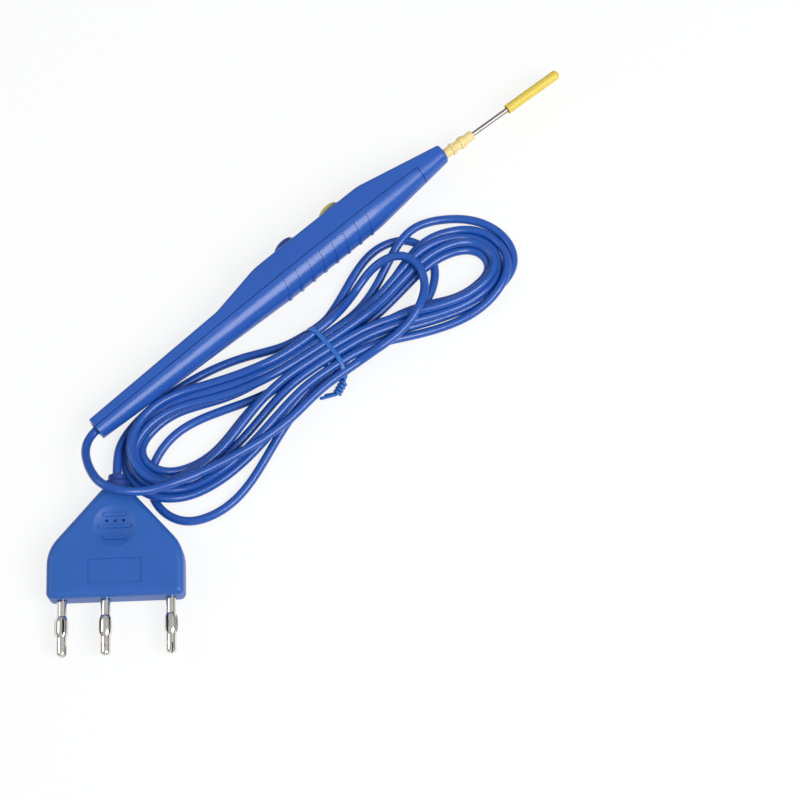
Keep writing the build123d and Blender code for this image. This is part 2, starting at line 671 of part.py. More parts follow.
def all_pieces():
    """Every piece in its place, by name."""
    upper, lower = handle_shells()
    pieces = {
        "handle_upper_shell": HANDLE * upper_shell(upper),
        "handle_lower_shell": HANDLE * lower_shell(lower),
        "coag_button": HANDLE * button(COAG_X),
        "cut_button": HANDLE * button(CUT_X),
        "circuit_board": HANDLE * board(),
        "coag_dome": HANDLE * dome(COAG_X),
        "cut_dome": HANDLE * dome(CUT_X),
        "cord_block": HANDLE * cord_block(),
        "coag_wire": HANDLE * handle_core(-1),
        "active_wire": HANDLE * handle_core(0),
        "cut_wire": HANDLE * handle_core(1),
        "socket_lead": HANDLE * socket_lead(),
        "electrode_socket": ELECTRODE * electrode_socket(),
        "electrode_rod": ELECTRODE * electrode_rod(),
        "electrode_hub": ELECTRODE * electrode_hub(),
        "tip_guard": ELECTRODE * tip_guard(),
        "plug_front_shell": PLUG * plug_front(),
        "plug_rear_shell": PLUG * mirror(plug_half(), about=Plane.XY),
        "cord_boot": PLUG * Rot(0, 0, 90) * cord_boot(),
        "cord_hank": cord_hank(),
        "cord_tie": cord_tie(),
    }
    for side, (name, place) in zip((-1, 0, 1), PIN_PLACES.items()):
        seat = PLUG * Pos(place, 0, 0) * Rot(0, 0, -90) * Rot(PIN_TURNS[name], 0, 0)
        pieces["plug_pin_" + name] = seat * plug_pin()
        pieces["pin_spring_" + name] = seat * pin_spring()
        pieces["plug_wire_" + name] = PLUG * plug_wire(place, side)
    leads = {"handle_lead": handle_lead(), "plug_lead": plug_lead()}
    for name, (points, (solid, length)) in leads.items():
        pieces[name] = solid
        ideal = math.pi * CORD_DIAMETER ** 2 / 4 * length
        print(name, "radii", [round(radius, 1) for radius in arc_radii(points)])
        print(name, "length", round(length, 1), "volume ratio", round(solid.volume / ideal, 4))
    return pieces


os.makedirs("parts", exist_ok=True)
for node, piece in all_pieces().items():
    export_step(piece, "parts/" + node + ".step")
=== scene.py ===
"""Electrosurgical pencil with its tied cord and three-pin plug: the looks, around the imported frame."""

import bpy
import numpy as np
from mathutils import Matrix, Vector


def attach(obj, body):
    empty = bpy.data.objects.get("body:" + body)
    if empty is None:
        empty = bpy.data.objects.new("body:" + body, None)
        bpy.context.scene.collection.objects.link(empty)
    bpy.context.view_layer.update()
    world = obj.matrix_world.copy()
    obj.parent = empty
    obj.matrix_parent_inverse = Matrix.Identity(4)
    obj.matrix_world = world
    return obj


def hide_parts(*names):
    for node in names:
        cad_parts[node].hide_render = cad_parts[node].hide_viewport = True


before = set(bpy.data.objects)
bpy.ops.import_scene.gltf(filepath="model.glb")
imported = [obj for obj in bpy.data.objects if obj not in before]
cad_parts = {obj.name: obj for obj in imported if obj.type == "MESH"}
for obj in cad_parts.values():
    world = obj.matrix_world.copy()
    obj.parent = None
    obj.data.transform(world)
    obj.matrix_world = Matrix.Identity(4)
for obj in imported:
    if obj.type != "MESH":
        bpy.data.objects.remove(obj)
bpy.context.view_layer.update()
scene = bpy.context.scene

# Camera
# A long lens stands high over the near left of the table and looks down on the pencil, which lies from
# lower left to upper right in the picture. Places are in metres, and the lens is in millimetres.
CAMERA_PLACE = Vector((-0.14752, -0.20406, 0.61819))
CAMERA_TARGET = Vector((-0.01572, -0.05249, 0.0))
CAMERA_LENS = 96.66
CAMERA_NEAREST = 0.01

camera_data = bpy.data.cameras.new("photo_camera")
camera_data.lens = CAMERA_LENS
camera_data.clip_start = CAMERA_NEAREST
camera = bpy.data.objects.new("photo_camera", camera_data)
camera.location = CAMERA_PLACE
camera.rotation_euler = (CAMERA_TARGET - CAMERA_PLACE).to_track_quat("-Z", "Y").to_euler()
scene.collection.objects.link(camera)
scene.camera = camera

# Cord
# Three conductors in one extruded jacket of soft PVC. It leaves the handle's tail, humps over the plug's
# neck, goes down through a hank of figure-eight loops, and ends in the plug's boot. Sizes in millimetres.
MM = 0.001
CORD = 2.7
CORD_PRESS = 0.88              # share of the thickness left between strands that press on each other
HANDLE_LEAD = np.array([
    (-86.92, -1.55, 6.3), (-93.12, -1.55, 6.3), (-98.2, -4.7, 8.2), (-101.2, -11.4, 11.8),
    (-101.8, -18.4, 14.5), (-97.6, -24.9, 14.5), (-91.8, -28.3, 11.4), (-85.3, -30.0, 8.4),
    (-79.0, -31.8, 6.6), (-70.0, -33.9, 6.0), (-61.0, -35.6, 5.6), (-53.0, -36.5, 5.0),
    (-45.0, -36.6, 4.6), (-37.0, -35.8, 4.8), (-30.0, -35.5, 5.4)])
PLUG_LEAD = np.array([
    (-95.59, -16.34, 5.0), (-93.39, -13.61, 5.0), (-89.6, -9.4, 2.9), (-84.0, -6.8, 1.5),
    (-77.4, -5.8, 1.4), (-70.4, -5.6, 1.4), (-63.6, -6.2, 1.4), (-57.0, -7.2, 1.4),
    (-50.0, -8.9, 1.4), (-43.0, -11.4, 1.4), (-36.0, -15.0, 1.8), (-30.0, -17.7, 2.4)])
TIE_X, TIE_Y = -24.0, -26.2
TIE_WIRE = 1.05
TIE_PRESS = 0.35               # share by which the tie flattens the pile under it
TIE_PINCH = 9.0                # how far along the hank the tie lifts and presses the strands
TIE_CLEAR = 2.0                # no point of the line lies closer to the tie than this
# Kinds of loop: reach from the tie and rise of the far end, each with what every strand further out adds
# to it, then the side going out and the side coming back. A side has its half width, what each strand
# further out adds to that, how narrow the innermost strand is at the tie, and how fast that eases with
# each strand.
RIGHT_LOOP = ((57.8, 2.5), (-8.65, 0.3), (6.25, 2.35, 3.2, 0.0), (-6.25, -3.1, 8.0, 1.3))
LEFT_LOOP = ((-62.4, -2.35), (7.6, -0.73), (-8.1, -1.8, 6.0, 1.2), (8.2, 2.5, 7.0, 0.56))
UNDER_LOOP = ((46.0, 0), (4.8, 0), (10.4, 0, 2.0, 0), (-10.6, 0, 2.5, 0))
STRAY_LOOP = ((-68.1, 0), (-5.3, 0), (-13.0, 0, 2.8, 0), (14.3, 0, 2.9, 0))
OVER_LOOP = ((39.4, 0), (1.6, 0), (8.0, 0, 2.6, 0), (-9.5, 0, 1.1, 0))
SHOULDER = 0.8                 # share of the reach at which a loop is at its full width
END_ROUND = 0.93               # radius of the far end, in half widths
# The loops from the bottom of the hank up, each with its rank going out and coming back, which counts
# strands from the innermost one.
LOOPS = [
    (UNDER_LOOP, 0, 0), (STRAY_LOOP, 0, 0), (RIGHT_LOOP, 0.12, 0.12), (LEFT_LOOP, 0, 0),
    (RIGHT_LOOP, 5.4, 2.05), (LEFT_LOOP, 3, 3), (RIGHT_LOOP, 2.6, 2.65), (LEFT_LOOP, 2, 2),
    (RIGHT_LOOP, 1.65, 1.5), (LEFT_LOOP, 1, 1), (RIGHT_LOOP, 0.76, 0.97), (LEFT_LOOP, 0.5, 2.5),
    (OVER_LOOP, 0, 0)]
# Where each pass under the tie lies across the bundle, in slots from its middle.
TIE_SLOTS = [2.6, -2.9, 0.0, -1.0, 1.8, -1.9, 0.9, -2.4, 1.4, -1.5, 0.5, -0.5, 2.2, -3.65]
SLOT = 2.5                     # from strand to strand under the tie
LOOP_SAMPLES = 96              # points at which a loop's plan and height are worked out
LOOP_POINT_STEP = 4            # one in so many of them is a point of the line
HUMP = 20.0                    # radius of the hump in which a strand goes over another
HUMP_JOIN = 16                 # samples of the loop before that still lift the start of the next
HUMP_EASE = 3                  # samples to each side over which the creases between humps are rounded
SAME_STRAND = 3 * CORD         # points closer than this along the cord don't carry each other


def loop_plan(kind, out_rank, back_rank, out_slot, back_slot):
    """One loop seen from above. Its reach swings out from the tie and back as a sine. Sideways it runs
    from its slot at the tie towards the far end's rise. Each side widens as a power of a sine up to the
    shoulder, and both close in a far end that is about a half circle, as wide as the two sides are on
    average."""
    (reach, reach_step), (rise, rise_step), out_side, back_side = kind
    rank = (out_rank + back_rank) / 2
    turn = np.linspace(0, 2 * np.pi, LOOP_SAMPLES, endpoint=False)
    out = turn < np.pi
    away = np.sin(turn / 2)
    length = reach + reach_step * rank
    widening = np.sin(np.pi / 2 * np.minimum(away / SHOULDER, 1))
    out_half = out_side[0] + out_side[1] * out_rank
    back_half = back_side[0] + back_side[1] * back_rank
    half = np.where(out, out_half, back_half)
    out_taper = out_side[2] / (1 + out_side[3] * out_rank)
    back_taper = back_side[2] / (1 + back_side[3] * back_rank)
    taper = np.where(out, out_taper, back_taper)
    end_radius = END_ROUND * np.abs(out_half - back_half) / 2
    closing = np.sqrt(1 - away ** (2 * np.abs(length) * end_radius / half ** 2))
    slot = np.where(out, out_slot, back_slot) * SLOT
    middle = TIE_Y + (rise + rise_step * rank) * away + slot * (1 - away)
    return np.stack([TIE_X + length * away, middle + half * widening ** taper * closing], 1)


def near_mean(values, reach):
    """Each row's average with the rows within reach of it, the first and the last row repeated."""
    ends = [(reach, reach)] + [(0, 0)] * (values.ndim - 1)
    padded = np.pad(values, ends, mode="edge")
    return np.lib.stride_tricks.sliding_window_view(padded, 2 * reach + 1, axis=0).mean(-1)


def settle(plan):
    """Heights along the plan: each loop lies on the table, or on the tie's wire, or on the loops laid
    before it. A support lifts the cord in a hump that falls away as a parabola, the highest hump counts,
    and a short average rounds the creases between humps. The tie presses the pile flatter where it goes
    round."""
    along = np.concatenate([[0], np.cumsum(np.linalg.norm(np.diff(plan, axis=0), axis=1))])
    pinch = np.exp(-((plan[:, 0] - TIE_X) / TIE_PINCH) ** 2)
    base = CORD / 2 + TIE_WIRE * pinch
    height = base.copy()
    thick = CORD * CORD_PRESS
    for first in range(LOOP_SAMPLES, len(plan), LOOP_SAMPLES):
        here = slice(first, first + LOOP_SAMPLES)
        gap = np.linalg.norm(plan[here, None] - plan[None, :first], axis=2)
        crosses = (gap < thick) & (along[here, None] - along[None, :first] > SAME_STRAND)
        carried = height[None, :first] + np.sqrt(np.maximum(thick ** 2 - gap ** 2, 0))
        raw = np.maximum(np.where(crosses, carried, 0).max(1), base[here])
        support = np.concatenate([height[first - HUMP_JOIN:first], raw])
        apart = along[here, None] - along[None, first - HUMP_JOIN:first + LOOP_SAMPLES]
        height[here] = (support - apart ** 2 / (2 * HUMP)).max(1)
    height = near_mean(height, HUMP_EASE)
    return base + (height - base) * (1 - TIE_PRESS * pinch)


slot_pairs = zip(TIE_SLOTS, TIE_SLOTS[1:])
hank_plan = np.concatenate([loop_plan(*loop, *slots) for loop, slots in zip(LOOPS, slot_pairs)])
hank = np.column_stack([hank_plan, settle(hank_plan)])
clear_of_tie = np.abs(hank[:, 0] - TIE_X) > TIE_CLEAR
spread = np.arange(len(hank)) % LOOP_POINT_STEP == 0
route = np.concatenate([HANDLE_LEAD, hank[clear_of_tie & spread][::-1], PLUG_LEAD[::-1]])

cord_curve = bpy.data.curves.new("cord", "CURVE")
cord_curve.dimensions = "3D"
cord_curve.bevel_depth = CORD / 2 * MM
cord_curve.bevel_resolution = 4
cord_curve.use_fill_caps = True
line = cord_curve.splines.new("NURBS")
line.points.add(len(route) - 1)
line.points.foreach_set("co", np.column_stack([route * MM, np.ones(len(route))]).ravel())
line.order_u = 3
line.use_endpoint_u = True
line.resolution_u = 6
cord = bpy.data.objects.new("cord", cord_curve)
scene.collection.objects.link(cord)


def linear(hex_colour):
    """An sRGB hex colour as linear RGBA."""
    srgb = np.array([int(hex_colour[i:i + 2], 16) for i in (1, 3, 5)]) / 255
    return (*np.where(srgb <= 0.04045, srgb / 12.92, ((srgb + 0.055) / 1.055) ** 2.4), 1.0)


def socket(sockets, name):
    """The socket at that number, or the first with that identifier or name."""
    if isinstance(name, int):
        return sockets[name]
    return next(s for s in sockets if name in (s.identifier, s.name))


def add(material, kind, inputs, **settings):
    """Adds a node with its settings. An input is a value, or a (node, output) pair to link from."""
    node = material.node_tree.nodes.new(kind)
    for name, value in settings.items():
        setattr(node, name, value)
    for name, value in inputs.items():
        if isinstance(value, tuple) and isinstance(value[0], bpy.types.Node):
            material.node_tree.links.new(socket(value[0].outputs, value[1]), socket(node.inputs, name))
        else:
            socket(node.inputs, name).default_value = value
    return node


def new_material(name, **constants):
    """A material, its shader with constant inputs named with _ for a space, and Object coordinates."""
    material = bpy.data.materials.new(name)
    material.use_nodes = True
    shader = material.node_tree.nodes["Principled BSDF"]
    for key, value in constants.items():
        shader.inputs[key.replace("_", " ")].default_value = value
    return material, shader, (add(material, "ShaderNodeTexCoord", {}), "Object")


def wire_up(material, shader, **links):
    """Links (node, output) pairs to the shader's inputs, named with _ for a space."""
    for name, (node, output) in links.items():
        material.node_tree.links.new(socket(node.outputs, output), shader.inputs[name.replace("_", " ")])


# Soft extruded PVC: an even satin with slow changes of gloss, and faint ripples left by the die.
pvc_cord, shader, place = new_material("soft_extruded_pvc", IOR=1.53)
slow = add(pvc_cord, "ShaderNodeTexNoise", {"Vector": place, "Scale": 1 / (14 * MM), "Detail": 2.0})
fine = add(pvc_cord, "ShaderNodeTexNoise", {"Vector": place, "Scale": 1 / (0.9 * MM), "Detail": 2.0})
tint = add(pvc_cord, "ShaderNodeMix", {"Factor": (slow, "Fac"), "A_Color": linear("#184CA4"),
                                       "B_Color": linear("#1F58B2")}, data_type="RGBA")
gloss = add(pvc_cord, "ShaderNodeMapRange", {"Value": (slow, "Fac"), "To Min": 0.18, "To Max": 0.27})
bump = add(pvc_cord, "ShaderNodeBump", {"Height": (fine, "Fac"), "Strength": 0.12, "Distance": 0.05 * MM})
wire_up(pvc_cord, shader, Base_Color=(tint, "Result_Color"), Roughness=(gloss, "Result"),
        Normal=(bump, "Normal"))
cord_curve.materials.append(pvc_cord)
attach(cord, "handle")
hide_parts("handle_lead", "cord_hank", "plug_lead")

# Tie
# A length of steel wire in a bright blue PVC coat. It goes twice round the hank, and on the near side one
# end is coiled tight round the other. Sizes in millimetres.
TIE_BOW = 2.5                  # how far the band bows along the hank over its top, and back under it
TIE_SLANT = 0.6                # how far its two sides lie apart along the hank, each way
TIE_GAP = 0.25                 # half the opening at the twist, in radians round the band
BAND_POINTS = 320
BAND_EASE = 6                  # points to each side over which the band's corners are rounded
TWIST_DROP = 1.3               # from the band's ends down to the start of the twist
TWIST_LENGTH = 5.0
TWIST_TURNS = 4.4
TWIST_WAY = np.array([-0.93, -0.36, -0.05])
TWIST_POINTS = 120
CORE_END = np.array([-4.6, 2.3, -0.4])
COIL_END = np.array([-2.8, 1.5, 0.3])
END_START = 0.15               # share of a loose end at which its first point lies
END_POINTS = 12
WIRE_EASE = 2                  # points to each side over which the whole wire is rounded
CAP_RINGS = np.array([1.0, 0.9, 0.6])  # how far the rings of a rounded end stand out, in radii


def surface(name, grid):
    """A mesh over a grid of points with a quad for each cell, closed round the first direction."""
    rows, columns = grid.shape[:2]
    index = np.arange(rows * columns).reshape(rows, columns)
    index = np.concatenate([index, index[:1]])
    quads = np.stack([index[:-1, :-1], index[:-1, 1:], index[1:, 1:], index[1:, :-1]], -1).reshape(-1, 4)
    mesh = bpy.data.meshes.new(name)
    mesh.from_pydata(grid.reshape(-1, 3) * MM, [], quads)
    mesh.validate()
    mesh.shade_smooth()
    piece = bpy.data.objects.new(name, mesh)
    scene.collection.objects.link(piece)
    return piece


def round_wire(name, path, radius, sides=14):
    """A wire along a path: rings of that radius set square to it, turned by the path's direction and the
    X axis. Each end is closed by rings that shrink as a quarter circle."""
    ahead = np.gradient(path, axis=0)
    ahead /= np.linalg.norm(ahead, axis=1)[:, None]
    first = path[:1] - ahead[:1] * radius * CAP_RINGS[:, None]
    last = path[-1:] + ahead[-1:] * radius * CAP_RINGS[::-1, None]
    centre = np.concatenate([first, path, last])
    way = np.pad(ahead, [(len(CAP_RINGS), len(CAP_RINGS)), (0, 0)], mode="edge")
    cap = np.sqrt(1 - CAP_RINGS ** 2)
    size = radius * np.concatenate([cap, np.ones(len(path)), cap[::-1]])
    side = np.cross(way, (1.0, 0.0, 0.0))
    side /= np.linalg.norm(side, axis=1)[:, None]
    up = np.cross(way, side)
    around = np.linspace(0, 2 * np.pi, sides, endpoint=False)[:, None, None]
    return surface(name, centre + size[:, None] * (np.cos(around) * up + np.sin(around) * side))


# A taut band: in each direction square to the hank it stands off the furthest strand by both radii.
under_tie = hank[np.r_[0:len(hank):LOOP_SAMPLES, len(hank) - 1], 1:]
bend = np.linspace(-np.pi + TIE_GAP, 3 * np.pi - TIE_GAP, BAND_POINTS)
outward = np.stack([np.cos(bend), np.sin(bend)], 1)
furthest = under_tie[(outward @ under_tie.T).argmax(1)]
ring = furthest + outward * (CORD + TIE_WIRE) / 2
across = 2 * (ring[:, 0] - ring[:, 0].min()) / np.ptp(ring[:, 0]) - 1
bow = TIE_SLANT * across + TIE_BOW * (1 - across ** 2) * np.sign(np.sin(bend))
beside = TIE_WIRE * np.linspace(-0.5, 0.5, BAND_POINTS)
band = near_mean(np.column_stack([TIE_X + bow + beside, ring]), BAND_EASE)
# The twist: one end runs straight as a core, and the other is a helix of one wire's radius round it.
along = np.linspace(0, 1, TWIST_POINTS)
twist = 2 * np.pi * TWIST_TURNS * along
twist_start = (band[0] + band[-1]) / 2 + np.array([0.0, 0.0, -TWIST_DROP])
core = twist_start + TWIST_LENGTH * along[:, None] * TWIST_WAY
coil = core + TIE_WIRE * np.stack([np.zeros(TWIST_POINTS), np.sin(twist), np.cos(twist)], 1)
loose = np.linspace(END_START, 1, END_POINTS)[:, None]
core_end = core[-1] + loose * CORE_END
coil_end = coil[-1] + loose * COIL_END
wire = np.concatenate([core_end[::-1], core[::-1], band, coil, coil_end])
tie = round_wire("cord_tie_wire", near_mean(wire, WIRE_EASE), TIE_WIRE / 2)

# Dip-coated PVC on wire: brighter than the cord, glossy, with slight thick and thin places.
coated_wire, shader, place = new_material("pvc_coated_wire", IOR=1.53)
thick = add(coated_wire, "ShaderNodeTexNoise", {"Vector": place, "Scale": 1 / (2.5 * MM), "Detail": 2.0})
tint = add(coated_wire, "ShaderNodeMix", {"Factor": (thick, "Fac"), "A_Color": linear("#2260B4"),
                                          "B_Color": linear("#3474C8")}, data_type="RGBA")
gloss = add(coated_wire, "ShaderNodeMapRange", {"Value": (thick, "Fac"), "To Min": 0.22, "To Max": 0.36})
bump = add(coated_wire, "ShaderNodeBump", {"Height": (thick, "Fac"), "Strength": 0.2,
                                           "Distance": 0.1 * MM})
wire_up(coated_wire, shader, Base_Color=(tint, "Result_Color"), Roughness=(gloss, "Result"),
        Normal=(bump, "Normal"))
tie.data.materials.append(coated_wire)
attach(tie, "handle")
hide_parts("cord_tie")


# Handle shells
# Two halves moulded in blue ABS and snapped together along a seam, with a nose ring, button rims and
# eight grip ribs.
def dress(material, *names):
    """Gives a material to CAD nodes."""
    for name in names:
        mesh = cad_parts[name].data
        mesh.materials.clear()
        mesh.materials.append(material)


# Moulded ABS from a finely eroded tool: satin, with slow flow tints and a grain that softens highlights.
moulded_abs, shader, place = new_material("moulded_abs_blue", IOR=1.54)
flow = add(moulded_abs, "ShaderNodeTexNoise", {"Vector": place, "Scale": 1 / (18 * MM), "Detail": 3.0})
grain = add(moulded_abs, "ShaderNodeTexNoise", {"Vector": place, "Scale": 1 / (0.35 * MM), "Detail": 2.0})
tint = add(moulded_abs, "ShaderNodeMix", {"Factor": (flow, "Fac"), "A_Color": linear("#1F54AE"),
                                          "B_Color": linear("#265DB8")}, data_type="RGBA")
gloss = add(moulded_abs, "ShaderNodeMapRange", {"Value": (flow, "Fac"), "To Min": 0.22, "To Max": 0.31})
bump = add(moulded_abs, "ShaderNodeBump", {"Height": (grain, "Fac"), "Strength": 0.10,
                                           "Distance": 0.02 * MM})
wire_up(moulded_abs, shader, Base_Color=(tint, "Result_Color"), Roughness=(gloss, "Result"),
        Normal=(bump, "Normal"))
dress(moulded_abs, "handle_upper_shell", "handle_lower_shell")

# Push buttons
# Two domed caps moulded in ABS, which slide in windows of the upper shell: the rear one is blue, for
# coagulation, and the front one yellow, for cutting.
BUTTON_COLOURS = {"coag_button": ("#1B4AA4", "#2052B0"), "cut_button": ("#D6C25A", "#E8D876")}
for name, (dark, light) in BUTTON_COLOURS.items():
    # Moulded ABS, a little duller than the shells: a broad soft highlight on the dome and slow tints.
    button_abs, shader, place = new_material("moulded_abs_" + name, IOR=1.54)
    flow = add(button_abs, "ShaderNodeTexNoise", {"Vector": place, "Scale": 1 / (4 * MM), "Detail": 3.0})
    grain = add(button_abs, "ShaderNodeTexNoise", {"Vector": place, "Scale": 1 / (0.3 * MM),
                                                   "Detail": 2.0})
    tint = add(button_abs, "ShaderNodeMix", {"Factor": (flow, "Fac"), "A_Color": linear(dark),
                                             "B_Color": linear(light)}, data_type="RGBA")
    gloss = add(button_abs, "ShaderNodeMapRange", {"Value": (flow, "Fac"), "To Min": 0.32,
                                                   "To Max": 0.44})
    bump = add(button_abs, "ShaderNodeBump", {"Height": (grain, "Fac"), "Strength": 0.1,
                                              "Distance": 0.02 * MM})
    wire_up(button_abs, shader, Base_Color=(tint, "Result_Color"), Roughness=(gloss, "Result"),
            Normal=(bump, "Normal"))
    dress(button_abs, name)

# Electrode hub
# A sleeve of pale yellow nylon moulded on the electrode's shaft, with two finger rings.
# Moulded nylon: waxy, with a little light going in, and a gloss that changes in soft clouds.
nylon, shader, place = new_material("moulded_nylon_pale_yellow", IOR=1.53, Subsurface_Weight=0.15,
                                    Subsurface_Scale=0.8 * MM)
cloud = add(nylon, "ShaderNodeTexNoise", {"Vector": place, "Scale": 1 / (3 * MM), "Detail": 3.0})
tint = add(nylon, "ShaderNodeMix", {"Factor": (cloud, "Fac"), "A_Color": linear("#EBCD88"),
                                    "B_Color": linear("#FAE2A0")}, data_type="RGBA")
gloss = add(nylon, "ShaderNodeMapRange", {"Value": (cloud, "Fac"), "To Min": 0.40, "To Max": 0.55})
bump = add(nylon, "ShaderNodeBump", {"Height": (cloud, "Fac"), "Strength": 0.1, "Distance": 0.05 * MM})
wire_up(nylon, shader, Base_Color=(tint, "Result_Color"), Roughness=(gloss, "Result"),
        Normal=(bump, "Normal"))
dress(nylon, "electrode_hub")

# Electrode rod
# Shaft, needle and blade ground from one stainless steel wire, pushed into the socket in the nose.
# Ground stainless: a soft grey with lines round the wire that draw highlights out along it. The lines are
# drawn coarser than real.
ground_steel, shader, place = new_material("ground_stainless_steel", Metallic=1.0)
squeezed = add(ground_steel, "ShaderNodeMapping", {
    "Vector": place, "Scale": (1 / (0.12 * MM), 1 / (2 * MM), 1 / (2 * MM))})
lines = add(ground_steel, "ShaderNodeTexNoise", {"Vector": (squeezed, "Vector"), "Scale": 1.0,
                                                 "Detail": 2.0})
tint = add(ground_steel, "ShaderNodeMix", {"Factor": (lines, "Fac"), "A_Color": linear("#968F8D"),
                                           "B_Color": linear("#B4ADAA")}, data_type="RGBA")
gloss = add(ground_steel, "ShaderNodeMapRange", {"Value": (lines, "Fac"), "To Min": 0.28, "To Max": 0.40})
bump = add(ground_steel, "ShaderNodeBump", {"Height": (lines, "Fac"), "Strength": 0.08,
                                            "Distance": 0.01 * MM})
wire_up(ground_steel, shader, Base_Color=(tint, "Result_Color"), Roughness=(gloss, "Result"),
        Normal=(bump, "Normal"))
dress(ground_steel, "electrode_rod")

# Tip guard
# A short length of yellow polyethylene tube, closed at its tip and pushed over the blade.
# Extruded polyethylene: waxy and slightly see-through, so its colour deepens where the wall is thick.
polyethylene, shader, place = new_material("extruded_polyethylene_yellow", IOR=1.51,
                                           Subsurface_Weight=0.25, Subsurface_Scale=1.0 * MM)
cloud = add(polyethylene, "ShaderNodeTexNoise", {"Vector": place, "Scale": 1 / (4 * MM), "Detail": 3.0})
tint = add(polyethylene, "ShaderNodeMix", {"Factor": (cloud, "Fac"), "A_Color": linear("#E0C448"),
                                           "B_Color": linear("#EAD25C")}, data_type="RGBA")
gloss = add(polyethylene, "ShaderNodeMapRange", {"Value": (cloud, "Fac"), "To Min": 0.34, "To Max": 0.46})
bump = add(polyethylene, "ShaderNodeBump", {"Height": (cloud, "Fac"), "Strength": 0.1,
                                            "Distance": 0.05 * MM})
wire_up(polyethylene, shader, Base_Color=(tint, "Result_Color"), Roughness=(gloss, "Result"),
        Normal=(bump, "Normal"))
dress(polyethylene, "tip_guard")

# Plug body
# Two halves moulded in blue ABS and welded round the pins and the cord's boot, with a dished face and a
# bare panel.
# Moulded ABS with a spark-eroded texture: duller than the handle, with a fine even grain.
eroded_abs, shader, place = new_material("spark_eroded_abs_blue", IOR=1.54)
flow = add(eroded_abs, "ShaderNodeTexNoise", {"Vector": place, "Scale": 1 / (12 * MM), "Detail": 3.0})
grain = add(eroded_abs, "ShaderNodeTexNoise", {"Vector": place, "Scale": 1 / (0.4 * MM), "Detail": 2.0})
tint = add(eroded_abs, "ShaderNodeMix", {"Factor": (flow, "Fac"), "A_Color": linear("#1A56AA"),
                                         "B_Color": linear("#205FB5")}, data_type="RGBA")
gloss = add(eroded_abs, "ShaderNodeMapRange", {"Value": (flow, "Fac"), "To Min": 0.38, "To Max": 0.50})
bump = add(eroded_abs, "ShaderNodeBump", {"Height": (grain, "Fac"), "Strength": 0.2,
                                          "Distance": 0.03 * MM})
wire_up(eroded_abs, shader, Base_Color=(tint, "Result_Color"), Roughness=(gloss, "Result"),
        Normal=(bump, "Normal"))
dress(eroded_abs, "plug_front_shell", "plug_rear_shell")

# Cord boot
# A ribbed sleeve of dark blue rubber that keeps the cord from kinking where it enters the plug.
# Moulded rubber: dark, dull and faintly dusty.
rubber, shader, place = new_material("moulded_rubber_dark_blue", IOR=1.52)
dust = add(rubber, "ShaderNodeTexNoise", {"Vector": place, "Scale": 1 / (1.2 * MM), "Detail": 4.0})
tint = add(rubber, "ShaderNodeMix", {"Factor": (dust, "Fac"), "A_Color": linear("#173A8C"),
                                     "B_Color": linear("#1D469C")}, data_type="RGBA")
gloss = add(rubber, "ShaderNodeMapRange", {"Value": (dust, "Fac"), "To Min": 0.48, "To Max": 0.62})
bump = add(rubber, "ShaderNodeBump", {"Height": (dust, "Fac"), "Strength": 0.15, "Distance": 0.04 * MM})
wire_up(rubber, shader, Base_Color=(tint, "Result_Color"), Roughness=(gloss, "Result"),
        Normal=(bump, "Normal"))
dress(rubber, "cord_boot")

# Plug pins
# Three turned brass pins, each with a sprung sleeve of four bulged leaves, all nickel plated.
PINS = [kind + side for kind in ("plug_pin_", "pin_spring_") for side in ("left", "middle", "right")]
SLIT_REACH = 1.2 * MM          # how near a wall has to be for the painted shade in the slits
# Bright nickel over turned brass: a warm white mirror, with slight turning marks under the plate. Down in
# the slits the colour is darkened towards dark brown by ambient occlusion, as painted shade, which draws
# the leaves.
nickel, shader, place = new_material("bright_nickel_plate", Metallic=1.0)
marks = add(nickel, "ShaderNodeTexNoise", {"Vector": place, "Scale": 1 / (0.5 * MM), "Detail": 3.0})
tint = add(nickel, "ShaderNodeMix", {"Factor": (marks, "Fac"), "A_Color": linear("#E0DCD4"),
                                     "B_Color": linear("#F2EFE9")}, data_type="RGBA")
gloss = add(nickel, "ShaderNodeMapRange", {"Value": (marks, "Fac"), "To Min": 0.12, "To Max": 0.24})
bump = add(nickel, "ShaderNodeBump", {"Height": (marks, "Fac"), "Strength": 0.06, "Distance": 0.01 * MM})
# Painted shade: the base colour goes dark where walls are near, as down in the slits.
open_sky = add(nickel, "ShaderNodeAmbientOcclusion", {"Distance": SLIT_REACH})
slit_painted_shade = add(nickel, "ShaderNodeMapRange", {"Value": (open_sky, "AO"), "From Min": 0.3, "From Max": 0.85})
shade = add(nickel, "ShaderNodeMix", {"Factor": (slit_painted_shade, "Result"), "A_Color": linear("#3A3632"),
                                      "B_Color": (tint, "Result_Color")}, data_type="RGBA")
wire_up(nickel, shader, Base_Color=(shade, "Result_Color"), Roughness=(gloss, "Result"),
        Normal=(bump, "Normal"))
dress(nickel, *PINS)

# Switch board, domes, socket, wires and cord block
# What the handle and the plug hold inside: a glass-epoxy board with two sprung steel domes, a brass
# socket that grips the electrode, single conductors in PVC, and the block moulded on the cord's end.
# Each finish has its nodes, its dark and light colour, how metallic it is and how rough.
INNER = {
    "glass_epoxy_laminate": (("circuit_board",), "#2F6B3C", "#3B7F49", 0.0, 0.45),
    "rolled_steel_domes": (("coag_dome", "cut_dome"), "#BDBBB7", "#D2D0CC", 1.0, 0.25),
    "drawn_brass": (("electrode_socket",), "#B8923F", "#CFA957", 1.0, 0.28),
    "wire_pvc_blue": (("coag_wire", "plug_wire_left"), "#2A4FA8", "#365DB8", 0.0, 0.42),
    "wire_pvc_white": (("active_wire", "socket_lead", "plug_wire_middle"),
                       "#D8D6CF", "#E8E6DF", 0.0, 0.42),
    "wire_pvc_yellow": (("cut_wire", "plug_wire_right"), "#D8BE2E", "#E8D048", 0.0, 0.42),
    "moulded_pvc_block": (("cord_block",), "#20429E", "#2A4FB0", 0.0, 0.5)}
ROUGH_SPREAD = 0.06
